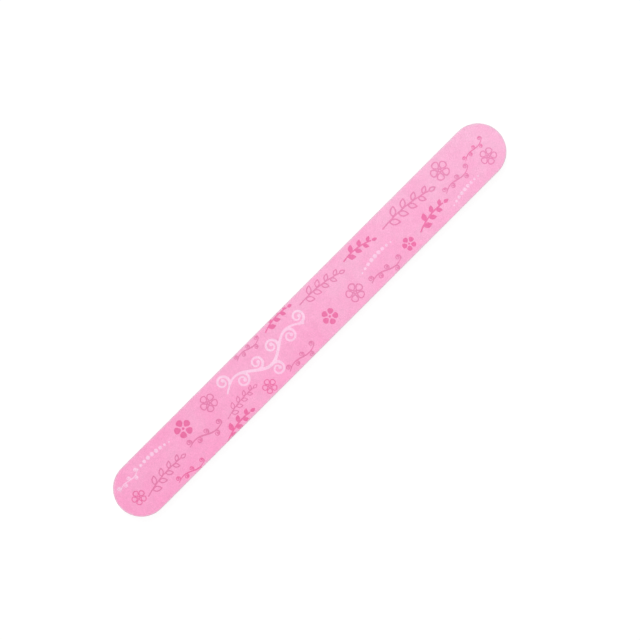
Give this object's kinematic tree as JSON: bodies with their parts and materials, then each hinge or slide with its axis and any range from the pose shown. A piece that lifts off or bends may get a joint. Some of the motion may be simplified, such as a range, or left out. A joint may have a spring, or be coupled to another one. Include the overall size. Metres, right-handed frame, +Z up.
{
  "type": "nail file",
  "caption": "Straight cushioned nail file with half-round ends: a laminate of plastic core, foam layers and printed abrasive sheets.",
  "frame": {"origin": "centre of the lower face, on the surface that the file lies on", "axes": "+X along the length, +Y across the width, +Z up through the thickness, out of the coarser face"},
  "size_m": [0.178, 0.019, 0.004],
  "materials": {
    "printed_grit": "abrasive grains in resin under pink printed ink, matt with small glints",
    "bond_resin": "thin coat of cured resin, satin",
    "backing_paper": "white latex-saturated paper, die-cut edge",
    "adhesive_tape": "clear acrylic double-sided tape",
    "cushion_foam": "pink closed-cell foam, die-cut edge with fine cells",
    "core_plastic": "white polystyrene strip, punched edge"
  },
  "bodies": {
    "root": {"lower_grit": "printed_grit", "lower_bond_coat": "bond_resin", "lower_paper": "backing_paper", "lower_paper_tape": "adhesive_tape", "lower_foam": "cushion_foam", "lower_core_tape": "adhesive_tape", "core": "core_plastic", "upper_core_tape": "adhesive_tape", "upper_foam": "cushion_foam", "upper_paper_tape": "adhesive_tape", "upper_paper": "backing_paper", "upper_bond_coat": "bond_resin", "upper_grit": "printed_grit"}
  },
  "joints": []
}
